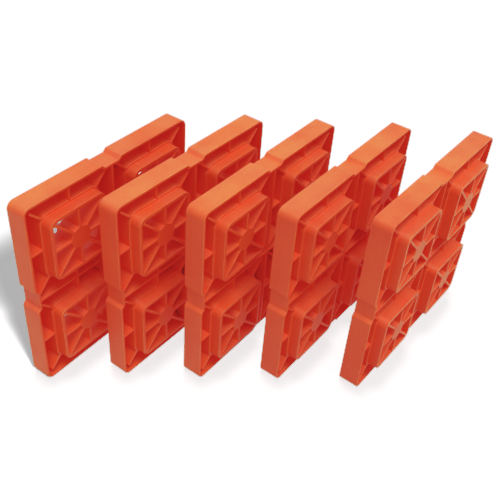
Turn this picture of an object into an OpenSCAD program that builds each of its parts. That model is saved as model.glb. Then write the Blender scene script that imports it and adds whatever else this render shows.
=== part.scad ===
// Leveling block set: five identical interlocking blocks for raising a wheel or a jack foot.
// Each block is one moulding. Its studs press into the sockets of the next block of a stack.
// The blocks stand on edge in a staggered row, studs towards +X, on the plane z = 0.

/* [Block] */
// Side of the square block
block_w = 216; // [180:1:250]
// Depth of the outer frame, which is the height one nested block adds
frame_d = 21.5; // [18:0.5:30]
// Thickness of the outer frame wall
wall_t = 2.5; // [1.8:0.1:3]
// Outer corner radius of the frame
corner_r = 8; // [6:0.5:12]
// Thickness of the cross-shaped divider between the four cells
divider_t = 2.4; // [1.6:0.1:3]

/* [Waist notch] */
// Length of the notch floor in the middle of each side
notch_floor_w = 18; // [12:0.5:24]
// Depth of the notch, which its 45 degree ends share
notch_d = 3.6; // [2:0.1:4.5]

/* [Stud and socket] */
// Outer width of a stud
stud_w = 69.5; // [60:0.5:71]
// Height of a stud above the front edge of the frame
stud_h = 9.5; // [6:0.5:12]
// Outer corner radius of a stud
stud_r = 8.5; // [6:0.5:10]
// Thickness of the stud wall
stud_wall_t = 3.6; // [2.5:0.1:4.5]
// Clearance between a stud and the socket that takes it, on each side
socket_gap = 0.75; // [0.3:0.05:1]
// Wall between the socket and the open moat around it
socket_wall_t = 2; // [1.6:0.1:3]
// How far the shoulder of a socket lies behind the front edge of the frame
shoulder_drop = 1.5; // [0.5:0.1:3]
// Thickness of the shoulder that joins a socket to its stud
shoulder_t = 2; // [1.6:0.1:3]

/* [Ribs] */
// Thickness of the floor that closes the moats at the back
moat_floor_t = 2; // [1.6:0.1:3]
// Thickness of the eight spokes inside a stud
spoke_t = 2.8; // [2:0.1:3.5]
// Width across the flats of the eight-sided hub
hub_w = 23; // [16:0.5:26]
// Thickness of the hub's face plate
hub_plate_t = 2.5; // [1.6:0.1:4]
// Wall of the hub behind its face plate
hub_wall_t = 2.4; // [1.6:0.1:3]
// Thickness of the eight ribs in the moat around each socket
rib_t = 2.2; // [1.6:0.1:3]
// Play between the tips of nested studs and the spokes behind the socket
seat_play = 0.5; // [0.3:0.1:1]

/* [Row] */
// Place of block 2 from block 1: along the studs, along the row, and turn in degrees
place_2 = [56.4, 54.1, -1.4];
// Place of block 3
place_3 = [119.5, 98.4, -1.0];
// Place of block 4
place_4 = [183.5, 148.5, -1.3];
// Place of block 5
place_5 = [255.3, 192.8, -2.0];

/* [Hidden] */
$fn = 64;
// Overlap that lets joined solids share volume
lap = 0.4;
pitch = block_w / 2;
cell_at = pitch / 2;
stud_top = frame_d + stud_h;
shoulder_top = frame_d - shoulder_drop;
socket_w = stud_w + 2 * socket_gap;
socket_r = stud_r + socket_gap;
tier_w = socket_w + 2 * socket_wall_t;
tier_r = socket_r + socket_wall_t;
stud_hole_w = stud_w - 2 * stud_wall_t;
stud_hole_r = stud_r - stud_wall_t;
spoke_start = stud_h + seat_play;
hub_r = hub_w / 2 / cos(22.5);
star_w = 2 * block_w;
cell_half_turns = [0, 45, 90, 135];
places = [[0, 0, 0], place_2, place_3, place_4, place_5];

// Plan-view points of a block that can touch the box around the row, turned and placed
function in_row(p, at) = [
    at[0] + p[0] * cos(at[2]) - p[1] * sin(at[2]),
    at[1] + p[0] * sin(at[2]) + p[1] * cos(at[2])
];
stud_ends = [cell_at - stud_w / 2, pitch + cell_at + stud_w / 2];
edge_points = [[0, 0], [0, block_w], [frame_d, 0], [frame_d, block_w],
    [stud_top, stud_ends[0]], [stud_top, stud_ends[1]]];
row_points = [for (at = places, p = edge_points) in_row(p, at)];
row_x = [for (p = row_points) p[0]];
row_y = [for (p = row_points) p[1]];
row_centre = [(min(row_x) + max(row_x)) / 2, (min(row_y) + max(row_y)) / 2];

// Square with round corners, centred
module soft_square(w, r) {
    square([w, w - 2 * r], center = true);
    square([w - 2 * r, w], center = true);
    for (x = [-1, 1], y = [-1, 1])
        translate([x * (w / 2 - r), y * (w / 2 - r)])
            circle(r);
}

// Block outline with a notch in the middle of each side, moved inwards by inset
module outline(inset) {
    half = block_w / 2 - inset;
    floor_half = notch_floor_w / 2 + inset * tan(22.5);
    difference() {
        soft_square(2 * half, corner_r - inset);
        for (a = [0, 90, 180, 270])
            rotate(a)
                polygon([
                    [half - notch_d, -floor_half],
                    [half - notch_d, floor_half],
                    [half + lap, floor_half + notch_d + lap],
                    [half + lap, -floor_half - notch_d - lap]
                ]);
    }
}

// Eight arms of equal thickness that cross at the centre
module star(arm_t) {
    for (a = cell_half_turns)
        rotate(a)
            square([star_w, arm_t], center = true);
}

// Outer wall and the cross between the cells
module frame_walls() {
    linear_extrude(frame_d)
        difference() {
            outline(0);
            outline(wall_t);
        }
    cross_w = block_w - 2 * notch_d - wall_t;
    linear_extrude(frame_d)
        union() {
            square([divider_t, cross_w], center = true);
            square([cross_w, divider_t], center = true);
        }
}

// Ribs across the moat of one cell, from the socket wall to the cell's sides
module moat_ribs(cell_x, cell_y) {
    linear_extrude(shoulder_top)
        difference() {
            intersection() {
                star(rib_t);
                square(pitch, center = true);
                translate([-cell_x, -cell_y])
                    outline(wall_t - lap);
            }
            soft_square(tier_w - 2 * lap, tier_r - lap);
        }
}

// Floor of the moats, open behind the four sockets
module moat_floor() {
    linear_extrude(moat_floor_t)
        difference() {
            outline(wall_t - lap);
            for (x = [-cell_at, cell_at], y = [-cell_at, cell_at])
                translate([x, y])
                    soft_square(tier_w - 2 * lap, tier_r - lap);
        }
}

// Socket at the back and the shoulder in front of it
module socket() {
    linear_extrude(shoulder_top)
        difference() {
            soft_square(tier_w, tier_r);
            soft_square(socket_w, socket_r);
        }
    translate([0, 0, shoulder_top - shoulder_t])
        linear_extrude(shoulder_t)
            difference() {
                soft_square(tier_w, tier_r);
                soft_square(stud_hole_w, stud_hole_r);
            }
}

// Raised stud wall
module stud() {
    stud_base = shoulder_top - shoulder_t;
    translate([0, 0, stud_base])
        linear_extrude(stud_top - stud_base)
            difference() {
                soft_square(stud_w, stud_r);
                soft_square(stud_hole_w, stud_hole_r);
            }
}

// Spokes and the cored eight-sided hub that they carry
module spokes() {
    translate([0, 0, spoke_start])
        linear_extrude(shoulder_top - spoke_start)
            difference() {
                intersection() {
                    star(spoke_t);
                    soft_square(socket_w + 2 * lap, socket_r + lap);
                }
                circle(hub_r - lap, $fn = 8);
            }
    translate([0, 0, spoke_start])
        linear_extrude(stud_top - spoke_start)
            difference() {
                intersection() {
                    star(spoke_t);
                    soft_square(stud_hole_w + 2 * lap, stud_hole_r + lap);
                }
                circle(hub_r - lap, $fn = 8);
            }
    translate([0, 0, spoke_start])
        linear_extrude(stud_top - spoke_start)
            difference() {
                circle(hub_r, $fn = 8);
                circle(hub_r - hub_wall_t / cos(22.5), $fn = 8);
            }
    translate([0, 0, stud_top - hub_plate_t])
        linear_extrude(hub_plate_t)
            circle(hub_r, $fn = 8);
}

// One whole block lying flat, studs up, centred on its back face
module moulded_block() {
    frame_walls();
    moat_floor();
    for (x = [-cell_at, cell_at], y = [-cell_at, cell_at])
        translate([x, y, 0]) {
            moat_ribs(x, y);
            socket();
            stud();
            spokes();
        }
}

// A block stood on edge at its place in the row
module standing_block(at) {
    color([0.85, 0.27, 0.13])
        translate([at[0] - row_centre[0], at[1] - row_centre[1], 0])
            rotate(at[2])
                translate([0, block_w / 2, block_w / 2])
                    rotate([90, 0, 90])
                        moulded_block();
}

module block_1() {
    standing_block(places[0]);
}

module block_2() {
    standing_block(places[1]);
}

module block_3() {
    standing_block(places[2]);
}

module block_4() {
    standing_block(places[3]);
}

module block_5() {
    standing_block(places[4]);
}

block_1();
block_2();
block_3();
block_4();
block_5();
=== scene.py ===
"""Leveling block set: five moulded plastic blocks standing on edge in a staggered row."""

import math

import bmesh
import bpy
from mathutils import Matrix, Vector


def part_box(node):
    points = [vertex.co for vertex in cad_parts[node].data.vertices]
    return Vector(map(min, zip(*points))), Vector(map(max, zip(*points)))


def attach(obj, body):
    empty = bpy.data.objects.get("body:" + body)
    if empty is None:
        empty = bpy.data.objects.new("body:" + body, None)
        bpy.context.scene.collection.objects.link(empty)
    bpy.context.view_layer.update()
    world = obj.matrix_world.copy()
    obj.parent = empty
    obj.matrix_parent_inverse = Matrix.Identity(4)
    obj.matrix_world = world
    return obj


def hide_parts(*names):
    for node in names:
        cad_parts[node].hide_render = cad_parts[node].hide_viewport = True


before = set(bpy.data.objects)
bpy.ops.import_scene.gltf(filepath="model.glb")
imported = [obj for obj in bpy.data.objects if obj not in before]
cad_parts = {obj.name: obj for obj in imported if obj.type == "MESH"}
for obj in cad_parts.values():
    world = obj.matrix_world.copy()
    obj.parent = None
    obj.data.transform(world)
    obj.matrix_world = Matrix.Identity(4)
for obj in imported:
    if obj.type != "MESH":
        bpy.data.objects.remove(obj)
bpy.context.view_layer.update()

# Driving sizes of one block, in metres. A block is modelled lying flat, studs up, and centred.
MM = 0.001
first_low, first_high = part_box("block_1")
SIDE = first_high[2] - first_low[2]
STUD_TOP = first_high[0] - first_low[0]
FRAME_D = 21.5 * MM
CORNER_R = 8 * MM
WALL_FRONT, WALL_BACK = 2.35 * MM, 2.8 * MM
FLOOR_T = 2 * MM
DIVIDER_FRONT, DIVIDER_BACK = 2.3 * MM, 2.9 * MM
NOTCH_FLAT = 18 * MM
NOTCH_D = 3.6 * MM
NOTCH_EDGE_R = 2.5 * MM
NOTCH_FOOT_R = 1.4 * MM
SHOULDER = 20 * MM
SHOULDER_T = 2 * MM
TIER_W = 74 * MM
TIER_TAPER = 0.6 * MM
TIER_R = 11.2 * MM
STUD_W = 69.4 * MM
STUD_TAPER = 0.3 * MM
STUD_R = 8.8 * MM
STUD_WALL = 3.6 * MM
SOCKET_W = 71.2 * MM
SOCKET_TAPER = 0.3 * MM
SOCKET_R = 9.25 * MM
SPOKE_BACK = 10 * MM
SPOKE_W = 2.5 * MM
SPOKE_TAPER = 0.3 * MM
HUB_FLATS = 23 * MM
HUB_WALL = 2.4 * MM
HUB_PLATE = 2.5 * MM
RIB_W = 2.1 * MM
RIB_TAPER = 0.2 * MM
SHORT_RIB_INSET = 9 * MM
EDGE_R = 0.45 * MM

PITCH = SIDE / 2
CELL = SIDE / 4
# How far a cutting tool passes what it cuts, and what counts as the same place
BELOW = 1 * MM
HAIR = 0.05 * MM
# Points nearer than this after the edges are rounded are merged
SLIVER = 0.12 * MM
CELL_CENTRES = [(x, y) for x in (-CELL, CELL) for y in (-CELL, CELL)]
QUARTER_TURNS = [math.radians(a) for a in (0, 90, 180, 270)]
EIGHTH = math.radians(45)
# Faces that meet at less than FLAT are one face, at more than ROUNDED they get a round edge, and at
# less than SMOOTH they shade as one surface. A bevel strip bends by more than BENT from its neighbours.
FLAT = math.radians(0.3)
ROUNDED = math.radians(35)
SMOOTH = math.radians(40)
BENT = math.radians(8)
# How much of an edge's run, or of a face's normal, lies along Z where it counts as upright or facing up
UPRIGHT, FACING_UP = 0.8, 0.9

# Colours of the plastic, as linear red, green and blue
ORANGE = (0.97, 0.088, 0.016, 1)
DEEP_ORANGE = (0.90, 0.058, 0.009, 1)
# Paler orange for scuffs and for the outer edges; on the edges it is partly wear and partly a painted
# highlight
WORN_AND_HIGHLIGHT_ORANGE = (0.96, 0.20, 0.070, 1)
DUST = (0.80, 0.60, 0.48, 1)

# How rough the bare plastic is, and what is added by dark pigment, rubbed edges and scuffs
BARE_ROUGHNESS = 0.43
PIGMENT_ROUGHNESS, RUB_ROUGHNESS, SCUFF_ROUGHNESS = 0.08, 0.12, 0.15
# How far the paler colour shows on the outer edges, where it is partly wear and partly a painted highlight,
# and in scuffs
EDGE_RUB_AND_HIGHLIGHT_TINT, SCUFF_TINT = 0.55, 0.25
GRAIN_DEPTH = 0.16 * MM
GRAIN_STRENGTH = 0.5
SCUFF_DEPTH = 0.3

# From which value of its noise each effect starts to show, and at which it shows fully
CLOUDS, STREAKS, SPECKS = (0.35, 0.68), (0.45, 0.72), (0.38, 0.62)
EDGE_RUB_AND_HIGHLIGHT, SCRATCHES, SCUFF_PATCHES = (0.42, 0.66), (0.66, 0.72), (0.52, 0.68)
DUST_CLOUDS = (0.3, 0.75)
# Dust starts to lie on faces whose normal has the first share of Z, and lies fully at the second
DUSTY_TILT = (0.3, 1.0)
# What each part adds to its effect
CLOUD_SHARE, STREAK_SHARE, SPECK_SHARE = 0.45, 0.25, 0.3
PEEL_SHARE, WAVE_SHARE = 0.4, 0.6
BROKEN_RUB_AND_HIGHLIGHT, LEAST_DUST = 0.7, 0.35
# The size of a streak against a cloud, and of a wave against the fine peel
STREAK_TO_CLOUD, WAVE_TO_PEEL = 0.16, 16.0
# How much noise is squeezed along X, Y and Z into streaks and scratches, and how scratches lean
STREAK_SQUEEZE, SCRATCH_SQUEEZE = (1.0, 0.22, 0.35), (1.0, 14.0, 14.0)
SCRATCH_LEANS = (math.radians(25), math.radians(-50))

# Greys that the floor and the room throw on the blocks, and that the camera sees
FLOOR_SIZE = 40
FLOOR_THROWN, FLOOR_SEEN = 0.098, 0.2
ROOM_THROWN, ROOM_SEEN = 0.54, 1

# The lamps: direction towards the lamp, strength, and spread in degrees
OVERHEAD = ((0.3, -0.16, 0.94), 1.3, 24)
CONTACT_LIGHT = ((-0.05, 0.035, 0.998), 2.4, 5)
FLOOR_LIGHT = ((0.631, -0.263, 0.729), 17.2, 7)

# Light in and light out, for a print with bright middle tones and clean white
DARKEST = (0, 0.008)
PRINT_TONE = ((0.02, 0.026), (0.06, 0.075), (0.09, 0.13), (0.12, 0.215), (0.16, 0.345), (0.24, 0.44),
              (0.38, 0.5), (0.5, 0.55), (0.8, 0.78))
ALL_COLOURS = 3

# The camera: its place, its turn, tilt down and roll, and its lens and sensor in millimetres
CAMERA_AT = (0.3101, -0.5175, 0.6064)
CAMERA_TURN, CAMERA_DOWN, CAMERA_ROLL = math.radians(-32.89), math.radians(39.41), math.radians(4.89)
LENS, SENSOR = 53.76, 36


def take(piece):
    """Leave one piece selected and active."""
    bpy.ops.object.select_all(action="DESELECT")
    piece.select_set(True)
    bpy.context.view_layer.objects.active = piece


def open_with(piece, kind, test):
    """Open a piece in edit mode with the parts that pass a test selected."""
    take(piece)
    bpy.ops.object.mode_set(mode="EDIT")
    bpy.ops.mesh.select_mode(type=kind)
    bpy.ops.mesh.select_all(action="DESELECT")
    shape = bmesh.from_edit_mesh(piece.data)
    parts = {"VERT": shape.verts, "EDGE": shape.edges, "FACE": shape.faces}[kind]
    for part in parts:
        if test(part):
            part.select_set(True)
    bmesh.update_edit_mesh(piece.data)


def close():
    """Go back to object mode."""
    bpy.ops.object.mode_set(mode="OBJECT")


def is_upright(edge):
    """Whether an edge runs nearly along Z."""
    run = edge.verts[1].co - edge.verts[0].co
    return abs(run.z) > UPRIGHT * run.length


def rounded_block(name, size, low, high, taper=(0, 0), corner=0, steps=7):
    """A closed block from low to high, drawn in by taper at the top, with round upright corners."""
    bpy.ops.object.select_all(action="DESELECT")
    bpy.ops.mesh.primitive_cube_add(
        size=1, location=(0, 0, (low + high) / 2), scale=(size[0], size[1], high - low))
    piece = bpy.context.active_object
    piece.name = name
    bpy.ops.object.transform_apply(location=True, rotation=True, scale=True)
    if taper[0] or taper[1]:
        open_with(piece, "FACE", lambda face: face.normal.z > FACING_UP)
        shrink = (1 - 2 * taper[0] / size[0], 1 - 2 * taper[1] / size[1], 1)
        bpy.ops.transform.resize(value=shrink, center_override=(0, 0, high))
        close()
    if corner:
        open_with(piece, "EDGE", is_upright)
        bpy.ops.mesh.bevel(offset=corner, segments=steps, affect="EDGES")
        close()
    return piece


def copy_at(piece, name, place):
    """A copy with its own mesh, moved by a matrix."""
    made = piece.copy()
    made.data = piece.data.copy()
    made.name = name
    bpy.context.scene.collection.objects.link(made)
    made.data.transform(place)
    return made


def in_cells(piece, name):
    """Move a piece made at the centre to all four cells."""
    made = [copy_at(piece, f"{name}_{i}", Matrix.Translation((x, y, 0)))
            for i, (x, y) in enumerate(CELL_CENTRES)]
    bpy.data.objects.remove(piece)
    return made


def work(piece, tools, how):
    """Join tools to a piece, or cut them away from it, and remove them."""
    rack = bpy.data.collections.new("tools")
    bpy.context.scene.collection.children.link(rack)
    for tool in tools:
        bpy.context.scene.collection.objects.unlink(tool)
        rack.objects.link(tool)
    take(piece)
    step = piece.modifiers.new("work", "BOOLEAN")
    step.operation = how
    step.solver = "EXACT"
    step.operand_type = "COLLECTION"
    step.collection = rack
    bpy.ops.object.modifier_apply(modifier=step.name)
    for tool in tools:
        bpy.data.objects.remove(tool)
    bpy.data.collections.remove(rack)


def block_outline(name, inset, low, high, steps, taper=0):
    """The block's outline moved inwards by inset, notched in the middle of each side."""
    half = SIDE / 2 - inset
    flat = NOTCH_FLAT / 2 + inset * math.tan(EIGHTH / 2)
    piece = rounded_block(name, (2 * half, 2 * half), low, high,
                          corner=CORNER_R - inset, steps=steps)
    for side in (Vector((1, 0, 0)), Vector((0, 1, 0))):
        for at in (-flat - NOTCH_D, -flat, flat, flat + NOTCH_D):
            open_with(piece, "FACE", lambda face: True)
            bpy.ops.mesh.bisect(plane_co=side * at, plane_no=side)
            close()

    def side_frame(turn):
        out = Vector((round(math.cos(turn)), round(math.sin(turn)), 0))
        return out, Vector((-out.y, out.x, 0))

    for turn in QUARTER_TURNS:
        out, along = side_frame(turn)
        open_with(piece, "VERT", lambda v: v.co.dot(out) > half - HAIR
                  and abs(v.co.dot(along)) < flat + HAIR)
        bpy.ops.transform.translate(value=-out * NOTCH_D)
        close()
    for from_middle, depth, radius, parts in ((flat + NOTCH_D, 0, NOTCH_EDGE_R, 3),
                                              (flat, NOTCH_D, NOTCH_FOOT_R, 2)):
        def at_corner(edge):
            for turn in QUARTER_TURNS:
                out, along = side_frame(turn)
                if all(abs(v.co.dot(out) - half + depth) < HAIR
                       and abs(abs(v.co.dot(along)) - from_middle) < HAIR for v in edge.verts):
                    return is_upright(edge)
            return False
        open_with(piece, "EDGE", at_corner)
        bpy.ops.mesh.bevel(offset=radius * math.tan(EIGHTH / 2), segments=parts, affect="EDGES")
        close()
    if taper:
        open_with(piece, "VERT", lambda v: v.co.z > high - HAIR)
        spread = 1 + taper / half
        bpy.ops.transform.resize(value=(spread, spread, 1), center_override=(0, 0, high))
        close()
    return piece


def bar(name, length, width, taper, low, high, place):
    """A straight rib along X that thins towards the front, turned and moved to its place."""
    piece = rounded_block(name, (length, width + 2 * taper), low, high, taper=(0, taper))
    piece.data.transform(place)
    return piece


def shell():
    """The open frame: outline, floor, dividers, moat ribs and the tiers that carry the studs."""
    body = block_outline("block", 0, 0, FRAME_D, steps=8)
    cavity = block_outline("cavity", WALL_BACK, FLOOR_T, FRAME_D + BELOW, steps=4,
                           taper=WALL_BACK - WALL_FRONT)
    work(body, [cavity], "DIFFERENCE")

    inside = FLOOR_T / 2
    across = SIDE - 2 * NOTCH_D - WALL_FRONT
    straight = SIDE - WALL_FRONT
    added = []
    for i, turn in enumerate(QUARTER_TURNS[:2]):
        facing = Matrix.Rotation(turn, 4, "Z")
        added.append(bar(f"divider_{i}", across, DIVIDER_FRONT, (DIVIDER_BACK - DIVIDER_FRONT) / 2,
                         inside, FRAME_D, facing))
        for side in (-CELL, CELL):
            added.append(bar("straight_rib", straight, RIB_W, RIB_TAPER, inside, SHOULDER,
                             facing @ Matrix.Translation((0, side, 0))))
        corner_run = math.sqrt(2) * (SIDE - 2 * CORNER_R)
        slant = Matrix.Rotation(turn + EIGHTH, 4, "Z")
        added.append(bar("long_rib", corner_run, RIB_W, RIB_TAPER, inside, SHOULDER, slant))
        short_run = math.sqrt(2) * (PITCH - SHORT_RIB_INSET)
        for side in (-CELL, CELL):
            off = Matrix.Translation((0, side * math.sqrt(2), 0))
            added.append(bar("short_rib", short_run, RIB_W, RIB_TAPER, inside, SHOULDER, slant @ off))
    tier = rounded_block("tier", (TIER_W + 2 * TIER_TAPER,) * 2, inside, SHOULDER,
                         taper=(TIER_TAPER,) * 2, corner=TIER_R, steps=8)
    added += in_cells(tier, "tier")
    work(body, added, "UNION")

    stud = rounded_block("stud", (STUD_W + 2 * STUD_TAPER,) * 2, SHOULDER - BELOW, STUD_TOP,
                         taper=(STUD_TAPER,) * 2, corner=STUD_R, steps=7)
    work(body, in_cells(stud, "stud"), "UNION")
    return body


def stud_hollow():
    """What is cut out of one stud: its socket, the eight openings between the spokes, and the hub's core."""
    hole_w = STUD_W - 2 * STUD_WALL
    hollow = rounded_block("hollow", (SOCKET_W + 2 * SOCKET_TAPER,) * 2, -BELOW, SHOULDER - SHOULDER_T,
                           taper=(SOCKET_TAPER,) * 2, corner=SOCKET_R, steps=6)
    opening = rounded_block("opening", (hole_w,) * 2, SHOULDER - 2 * SHOULDER_T, STUD_TOP + BELOW,
                            corner=STUD_R - STUD_WALL, steps=5)
    work(hollow, [opening], "UNION")
    above = STUD_TOP + 2 * BELOW
    spokes = [bar("spoke", 2 * SOCKET_W, SPOKE_W, SPOKE_TAPER, SPOKE_BACK, above,
                  Matrix.Rotation(EIGHTH * i, 4, "Z")) for i in range(4)]
    hub_r = HUB_FLATS / 2 / math.cos(EIGHTH / 2)
    bpy.ops.mesh.primitive_cylinder_add(
        vertices=8, radius=hub_r, depth=above - SPOKE_BACK, location=(0, 0, (above + SPOKE_BACK) / 2))
    hub = bpy.context.active_object
    bpy.ops.object.transform_apply(location=True, rotation=True, scale=True)
    work(hollow, spokes + [hub], "DIFFERENCE")
    core_r = (HUB_FLATS / 2 - HUB_WALL) / math.cos(EIGHTH / 2)
    core_top, core_back = STUD_TOP - HUB_PLATE, SPOKE_BACK - BELOW
    bpy.ops.mesh.primitive_cylinder_add(
        vertices=8, radius=core_r, depth=core_top - core_back, location=(0, 0, (core_top + core_back) / 2))
    core = bpy.context.active_object
    bpy.ops.object.transform_apply(location=True, rotation=True, scale=True)
    work(hollow, [core], "UNION")
    return hollow


def mark_outer_edges(piece):
    """Give the rounded strips of outer edges the value 1 in the face attribute "edge"."""
    shape = bmesh.new()
    shape.from_mesh(piece.data)
    mark = shape.faces.layers.float.new("edge")
    for face in shape.faces:
        bends = [edge for edge in face.edges if edge.calc_face_angle(0) > BENT]
        outer = sum(1 if edge.is_convex else -1 for edge in bends)
        face[mark] = 1.0 if face.material_index == 1 and outer > 0 else 0.0
        face.material_index = 0
    shape.to_mesh(piece.data)
    shape.free()


def soften(piece, plastic):
    """Clean the joined mesh, then round every edge as the mould does."""
    open_with(piece, "FACE", lambda face: True)
    bpy.ops.mesh.remove_doubles(threshold=HAIR / 10)
    bpy.ops.mesh.dissolve_limited(angle_limit=FLAT)
    close()
    take(piece)
    for _ in range(2):
        piece.data.materials.append(plastic)
    edges = piece.modifiers.new("edges", "BEVEL")
    edges.width = EDGE_R
    edges.segments = 2
    edges.limit_method = "ANGLE"
    edges.angle_limit = ROUNDED
    edges.use_clamp_overlap = False
    edges.material = 1
    bpy.ops.object.modifier_apply(modifier=edges.name)
    mark_outer_edges(piece)
    piece.data.materials.pop()
    # The bevel leaves a few tiny faces, at rib ends and at the feet of the studs' corners
    open_with(piece, "FACE", lambda face: True)
    bpy.ops.mesh.remove_doubles(threshold=SLIVER)
    close()
    take(piece)
    bpy.ops.object.shade_smooth_by_angle(angle=SMOOTH)
    level = piece.modifiers.new("level", "WEIGHTED_NORMAL")
    level.keep_sharp = True
    bpy.ops.object.modifier_apply(modifier=level.name)


def place_of(node):
    """Where a block's near back edge stands, and its turn, read from its solid."""
    points = [v.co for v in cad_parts[node].data.vertices]
    back = min(p.x for p in points)
    near = min((p for p in points if p.x < back + HAIR), key=lambda p: p.y)
    far_y = max(p.y for p in points)
    far = min((p for p in points if p.y > far_y - HAIR), key=lambda p: p.x)
    turn = math.atan2(near.x - far.x, far.y - near.y)
    return Matrix.Translation((near.x, near.y, 0)) @ Matrix.Rotation(turn, 4, "Z")


def add_blocks(plastic):
    """Model one block lying flat, then stand a copy of it at each place in the row."""
    master = shell()
    work(master, in_cells(stud_hollow(), "hollow"), "DIFFERENCE")
    soften(master, plastic)
    # The flat block's X, Y and Z become Y, Z and X, with its lower edge on the floor
    on_edge = Matrix(((0, 0, 1, 0), (1, 0, 0, SIDE / 2), (0, 1, 0, SIDE / 2), (0, 0, 0, 1)))
    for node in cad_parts:
        piece = copy_at(master, f"{node}_moulding", place_of(node) @ on_edge)
        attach(piece, node)
        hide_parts(node)
    bpy.data.objects.remove(master)


def feed(tree, socket, value):
    """Set a socket to a plain value, or link it to another socket."""
    if isinstance(value, (int, float, tuple)):
        socket.default_value = value
    else:
        tree.links.new(value, socket)


def new_group(name, takes, gives):
    """A node group with named sockets. Returns it, what it is given, and what it gives out."""
    group = bpy.data.node_groups.new(name, "ShaderNodeTree")
    for socket, kind, value in takes:
        made = group.interface.new_socket(socket, in_out="INPUT", socket_type=f"NodeSocket{kind}")
        if value is not None:
            made.default_value = value
    for socket, kind in gives:
        group.interface.new_socket(socket, in_out="OUTPUT", socket_type=f"NodeSocket{kind}")
    return group, group.nodes.new("NodeGroupInput").outputs, group.nodes.new("NodeGroupOutput").inputs


def math_node(tree, how, first, second):
    """A math node on two sockets or plain numbers, kept within 0 to 1 where it adds or scales."""
    made = tree.nodes.new("ShaderNodeMath")
    made.operation = how
    made.use_clamp = how in ("MULTIPLY", "ADD", "SUBTRACT")
    feed(tree, made.inputs[0], first)
    feed(tree, made.inputs[1], second)
    return made.outputs["Value"]


def noise_node(tree, vector, scale, detail):
    """Soft noise over the surface. Returns its value."""
    made = tree.nodes.new("ShaderNodeTexNoise")
    made.inputs["Detail"].default_value = detail
    feed(tree, made.inputs["Vector"], vector)
    feed(tree, made.inputs["Scale"], scale)
    return made.outputs["Fac"]


def ramp_node(tree, value, low, high):
    """Spread the part of a value between low and high smoothly over 0 to 1."""
    made = tree.nodes.new("ShaderNodeMapRange")
    made.interpolation_type = "SMOOTHSTEP"
    made.inputs["From Min"].default_value = low
    made.inputs["From Max"].default_value = high
    tree.links.new(value, made.inputs["Value"])
    return made.outputs["Result"]


def mix_node(tree, share, first, second):
    """Mix two colours, each a socket or a plain colour. Returns the colour."""
    made = tree.nodes.new("ShaderNodeMix")
    made.data_type = "RGBA"
    tree.links.new(share, made.inputs["Factor"])
    feed(tree, made.inputs["A"], first)
    feed(tree, made.inputs["B"], second)
    return made.outputs["Result"]


def pigment_flow():
    """Faint clouds, flow streaks and specks in the pigment of moulded plastic."""
    tree, given, out = new_group("pigment flow", [("Vector", "Vector", None), ("Scale", "Float", 10.0),
                                                  ("Speck Scale", "Float", 800.0),
                                                  ("Amount", "Float", 0.5)], [("Mask", "Float")])
    clouds = ramp_node(tree, noise_node(tree, given["Vector"], given["Scale"], detail=3.0), *CLOUDS)
    squeeze = tree.nodes.new("ShaderNodeMapping")
    squeeze.inputs["Scale"].default_value = STREAK_SQUEEZE
    tree.links.new(given["Vector"], squeeze.inputs["Vector"])
    fine = math_node(tree, "DIVIDE", given["Scale"], STREAK_TO_CLOUD)
    streaks = ramp_node(tree, noise_node(tree, squeeze.outputs["Vector"], fine, detail=2.0), *STREAKS)
    specks = ramp_node(tree, noise_node(tree, given["Vector"], given["Speck Scale"], detail=1.0), *SPECKS)
    wide = math_node(tree, "ADD", math_node(tree, "MULTIPLY", clouds, CLOUD_SHARE),
                     math_node(tree, "MULTIPLY", streaks, STREAK_SHARE))
    every = math_node(tree, "ADD", wide, math_node(tree, "MULTIPLY", specks, SPECK_SHARE))
    tree.links.new(math_node(tree, "MULTIPLY", every, given["Amount"]), out["Mask"])
    return tree


def moulded_grain():
    """The fine orange peel that a satin mould leaves, as a height."""
    tree, given, out = new_group("moulded grain", [("Vector", "Vector", None), ("Scale", "Float", 900.0)],
                                 [("Height", "Float")])
    peel = noise_node(tree, given["Vector"], given["Scale"], detail=2.0)
    wide = math_node(tree, "DIVIDE", given["Scale"], WAVE_TO_PEEL)
    waves = noise_node(tree, given["Vector"], wide, detail=1.0)
    height = math_node(tree, "ADD", math_node(tree, "MULTIPLY", peel, PEEL_SHARE),
                       math_node(tree, "MULTIPLY", waves, WAVE_SHARE))
    tree.links.new(height, out["Height"])
    return tree


def edge_rub_and_highlight():
    """Broken pale colour along the outer edges: partly rubbed wear, partly a painted highlight on the
    rounded edges.
    """
    tree, given, out = new_group("edge rub and painted highlight", [("Vector", "Vector", None), ("Edge", "Float", 0.0),
                                              ("Scale", "Float", 60.0), ("Least", "Float", 0.3)],
                                 [("Mask", "Float")])
    broken = ramp_node(tree, noise_node(tree, given["Vector"], given["Scale"], detail=4.0), *EDGE_RUB_AND_HIGHLIGHT)
    share = math_node(tree, "ADD", math_node(tree, "MULTIPLY", broken, BROKEN_RUB_AND_HIGHLIGHT), given["Least"])
    tree.links.new(math_node(tree, "MULTIPLY", share, given["Edge"]), out["Mask"])
    return tree


def scuff_marks():
    """Short fine scratches in scattered patches."""
    tree, given, out = new_group("scuff marks", [("Vector", "Vector", None), ("Scale", "Float", 40.0),
                                                 ("Patch Scale", "Float", 14.0)], [("Mask", "Float")])
    lines = []
    for lean in SCRATCH_LEANS:
        turn = tree.nodes.new("ShaderNodeMapping")
        turn.inputs["Rotation"].default_value = (lean, lean / 2, lean)
        turn.inputs["Scale"].default_value = SCRATCH_SQUEEZE
        tree.links.new(given["Vector"], turn.inputs["Vector"])
        scratches = noise_node(tree, turn.outputs["Vector"], given["Scale"], detail=1.0)
        lines.append(ramp_node(tree, scratches, *SCRATCHES))
    where = noise_node(tree, given["Vector"], given["Patch Scale"], detail=2.0)
    patches = ramp_node(tree, where, *SCUFF_PATCHES)
    both = math_node(tree, "MAXIMUM", lines[0], lines[1])
    tree.links.new(math_node(tree, "MULTIPLY", both, patches), out["Mask"])
    return tree


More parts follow.
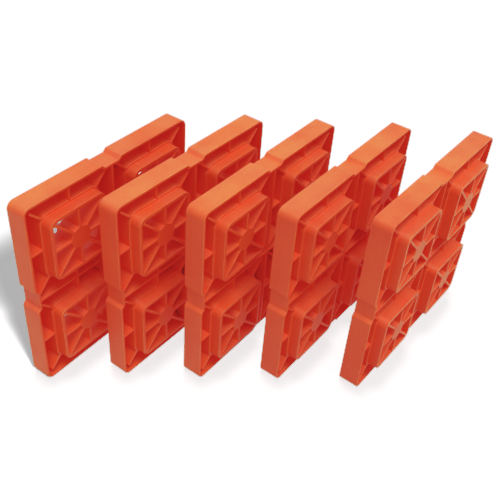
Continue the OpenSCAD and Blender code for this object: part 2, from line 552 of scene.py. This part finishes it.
def settled_dust():
    """A thin film of dust that lies on faces that look up."""
    tree, given, out = new_group("settled dust", [("Vector", "Vector", None), ("Scale", "Float", 30.0),
                                                  ("Amount", "Float", 0.1)], [("Mask", "Float")])
    facing = tree.nodes.new("ShaderNodeSeparateXYZ")
    tree.links.new(tree.nodes.new("ShaderNodeNewGeometry").outputs["Normal"], facing.inputs["Vector"])
    up = ramp_node(tree, facing.outputs["Z"], *DUSTY_TILT)
    clouds = ramp_node(tree, noise_node(tree, given["Vector"], given["Scale"], detail=5.0), *DUST_CLOUDS)
    cover = math_node(tree, "ADD", clouds, LEAST_DUST)
    amount = math_node(tree, "MULTIPLY", cover, given["Amount"])
    tree.links.new(math_node(tree, "MULTIPLY", up, amount), out["Mask"])
    return tree


def place_group(tree, group, vector, **values):
    """Put a group in a material with its own values. Returns its first output."""
    made = tree.nodes.new("ShaderNodeGroup")
    made.node_tree = group
    tree.links.new(vector, made.inputs["Vector"])
    for name, value in values.items():
        feed(tree, made.inputs[name], value)
    return made.outputs[0]


def orange_plastic():
    """Satin orange-red polypropylene, with mould grain, pale outer edges that are partly rubbed wear and
    partly a painted highlight, scuffs and a little dust.
    """
    plastic = bpy.data.materials.new("orange moulded plastic")
    plastic.use_nodes = True
    tree = plastic.node_tree
    shader = tree.nodes["Principled BSDF"]
    here = tree.nodes.new("ShaderNodeTexCoord").outputs["Object"]
    edge = tree.nodes.new("ShaderNodeAttribute")
    edge.attribute_name = "edge"
    flow = place_group(tree, pigment_flow(), here, Scale=12.0, Amount=1.0)
    rub_and_highlight = place_group(tree, edge_rub_and_highlight(), here, Edge=edge.outputs["Fac"], Scale=55.0, Least=0.35)
    scuffs = place_group(tree, scuff_marks(), here, Scale=42.0)
    dust = place_group(tree, settled_dust(), here, Scale=26.0, Amount=0.05)
    grain = place_group(tree, moulded_grain(), here, Scale=750.0)

    colour = mix_node(tree, flow, ORANGE, DEEP_ORANGE)
    # Paler orange on the outer edges: partly wear, partly a painted highlight
    colour = mix_node(tree, math_node(tree, "MULTIPLY", rub_and_highlight, EDGE_RUB_AND_HIGHLIGHT_TINT), colour, WORN_AND_HIGHLIGHT_ORANGE)
    colour = mix_node(tree, math_node(tree, "MULTIPLY", scuffs, SCUFF_TINT), colour, WORN_AND_HIGHLIGHT_ORANGE)
    colour = mix_node(tree, dust, colour, DUST)
    tree.links.new(colour, shader.inputs["Base Color"])
    rough = math_node(tree, "ADD", math_node(tree, "MULTIPLY", flow, PIGMENT_ROUGHNESS), BARE_ROUGHNESS)
    rough = math_node(tree, "ADD", rough, math_node(tree, "MULTIPLY", rub_and_highlight, RUB_ROUGHNESS))
    rough = math_node(tree, "ADD", rough, math_node(tree, "MULTIPLY", scuffs, SCUFF_ROUGHNESS))
    rough = math_node(tree, "ADD", rough, dust)
    tree.links.new(rough, shader.inputs["Roughness"])
    bump = tree.nodes.new("ShaderNodeBump")
    bump.inputs["Strength"].default_value = GRAIN_STRENGTH
    bump.inputs["Distance"].default_value = GRAIN_DEPTH
    tree.links.new(math_node(tree, "SUBTRACT", grain, math_node(tree, "MULTIPLY", scuffs, SCUFF_DEPTH)),
                   bump.inputs["Height"])
    tree.links.new(bump.outputs["Normal"], shader.inputs["Normal"])
    return plastic


def seen_and_thrown(tree, kind, socket, thrown, seen):
    """Two plain grey shaders: one lights the blocks, and the camera sees the other. Returns their mix."""
    path = tree.nodes.new("ShaderNodeLightPath")
    both = tree.nodes.new("ShaderNodeMixShader")
    tree.links.new(path.outputs["Is Camera Ray"], both.inputs["Fac"])
    for place, grey in ((1, thrown), (2, seen)):
        shader = tree.nodes.new(kind)
        shader.inputs[socket].default_value = (grey, grey, grey, 1)
        tree.links.new(shader.outputs[0], both.inputs[place])
    return both.outputs["Shader"]


def add_floor():
    """A plain white paper sweep, which throws back less light than it shows."""
    bpy.ops.object.select_all(action="DESELECT")
    bpy.ops.mesh.primitive_plane_add(size=FLOOR_SIZE)
    floor = bpy.context.active_object
    floor.name = "floor"
    paper = bpy.data.materials.new("white paper")
    paper.use_nodes = True
    tree = paper.node_tree
    tree.nodes.remove(tree.nodes["Principled BSDF"])
    paper_shader = seen_and_thrown(tree, "ShaderNodeBsdfDiffuse", "Color", FLOOR_THROWN, FLOOR_SEEN)
    tree.links.new(paper_shader, tree.nodes["Material Output"].inputs["Surface"])
    floor.data.materials.append(paper)
    return floor


def add_lamp(name, settings, lights_on, shaded_by=None):
    """A soft distant lamp that lights only the objects given, and may be shaded by only one object."""
    towards, strength, spread = settings
    lamp_data = bpy.data.lights.new(name, "SUN")
    lamp_data.energy = strength
    lamp_data.angle = math.radians(spread)
    lamp = bpy.data.objects.new(name, lamp_data)
    bpy.context.scene.collection.objects.link(lamp)
    lamp.rotation_euler = Vector(towards).to_track_quat("Z", "Y").to_euler()
    lit = bpy.data.collections.new(f"{name} lights")
    for thing in lights_on:
        lit.objects.link(thing)
    lamp.light_linking.receiver_collection = lit
    if shaded_by:
        shade = bpy.data.collections.new(f"{name} shade")
        shade.objects.link(shaded_by)
        lamp.light_linking.blocker_collection = shade


def add_light(floor):
    """An even white room, a wide lamp overhead for the blocks, and two lamps for the floor."""
    room = bpy.data.worlds.new("studio")
    bpy.context.scene.world = room
    room.use_nodes = True
    tree = room.node_tree
    tree.nodes.remove(tree.nodes["Background"])
    walls = seen_and_thrown(tree, "ShaderNodeBackground", "Color", ROOM_THROWN, ROOM_SEEN)
    tree.links.new(walls, tree.nodes["World Output"].inputs["Surface"])
    blocks = [o for o in bpy.context.scene.objects if o.type == "MESH" and o != floor]
    add_lamp("overhead", OVERHEAD, blocks)
    add_lamp("contact light", CONTACT_LIGHT, [floor])
    add_lamp("floor light", FLOOR_LIGHT, [floor], shaded_by=bpy.data.objects["block_1_moulding"])


def set_tone():
    """Show the scene in the print tone."""
    look = bpy.context.scene.view_settings
    look.view_transform = "Standard"
    look.use_curve_mapping = True
    curve = look.curve_mapping.curves[ALL_COLOURS]
    curve.points[0].location = DARKEST
    for light_in, light_out in PRINT_TONE:
        curve.points.new(light_in, light_out)
    look.curve_mapping.update()


def add_camera():
    """The camera, turned about Z, tilted down, and rolled about the way it looks."""
    reach = math.cos(CAMERA_DOWN)
    ahead = Vector((math.sin(CAMERA_TURN) * reach, math.cos(CAMERA_TURN) * reach, -math.sin(CAMERA_DOWN)))
    level = ahead.cross(Vector((0, 0, 1))).normalized()
    rise = level.cross(ahead)
    right = level * math.cos(CAMERA_ROLL) + rise * math.sin(CAMERA_ROLL)
    up = rise * math.cos(CAMERA_ROLL) - level * math.sin(CAMERA_ROLL)
    lens = bpy.data.cameras.new("camera")
    lens.sensor_width = SENSOR
    lens.lens = LENS
    camera = bpy.data.objects.new("camera", lens)
    bpy.context.scene.collection.objects.link(camera)
    facing = Matrix((right, up, -ahead)).transposed().to_4x4()
    camera.matrix_world = Matrix.Translation(CAMERA_AT) @ facing
    bpy.context.scene.camera = camera


add_blocks(orange_plastic())
add_light(add_floor())
add_camera()
set_tone()
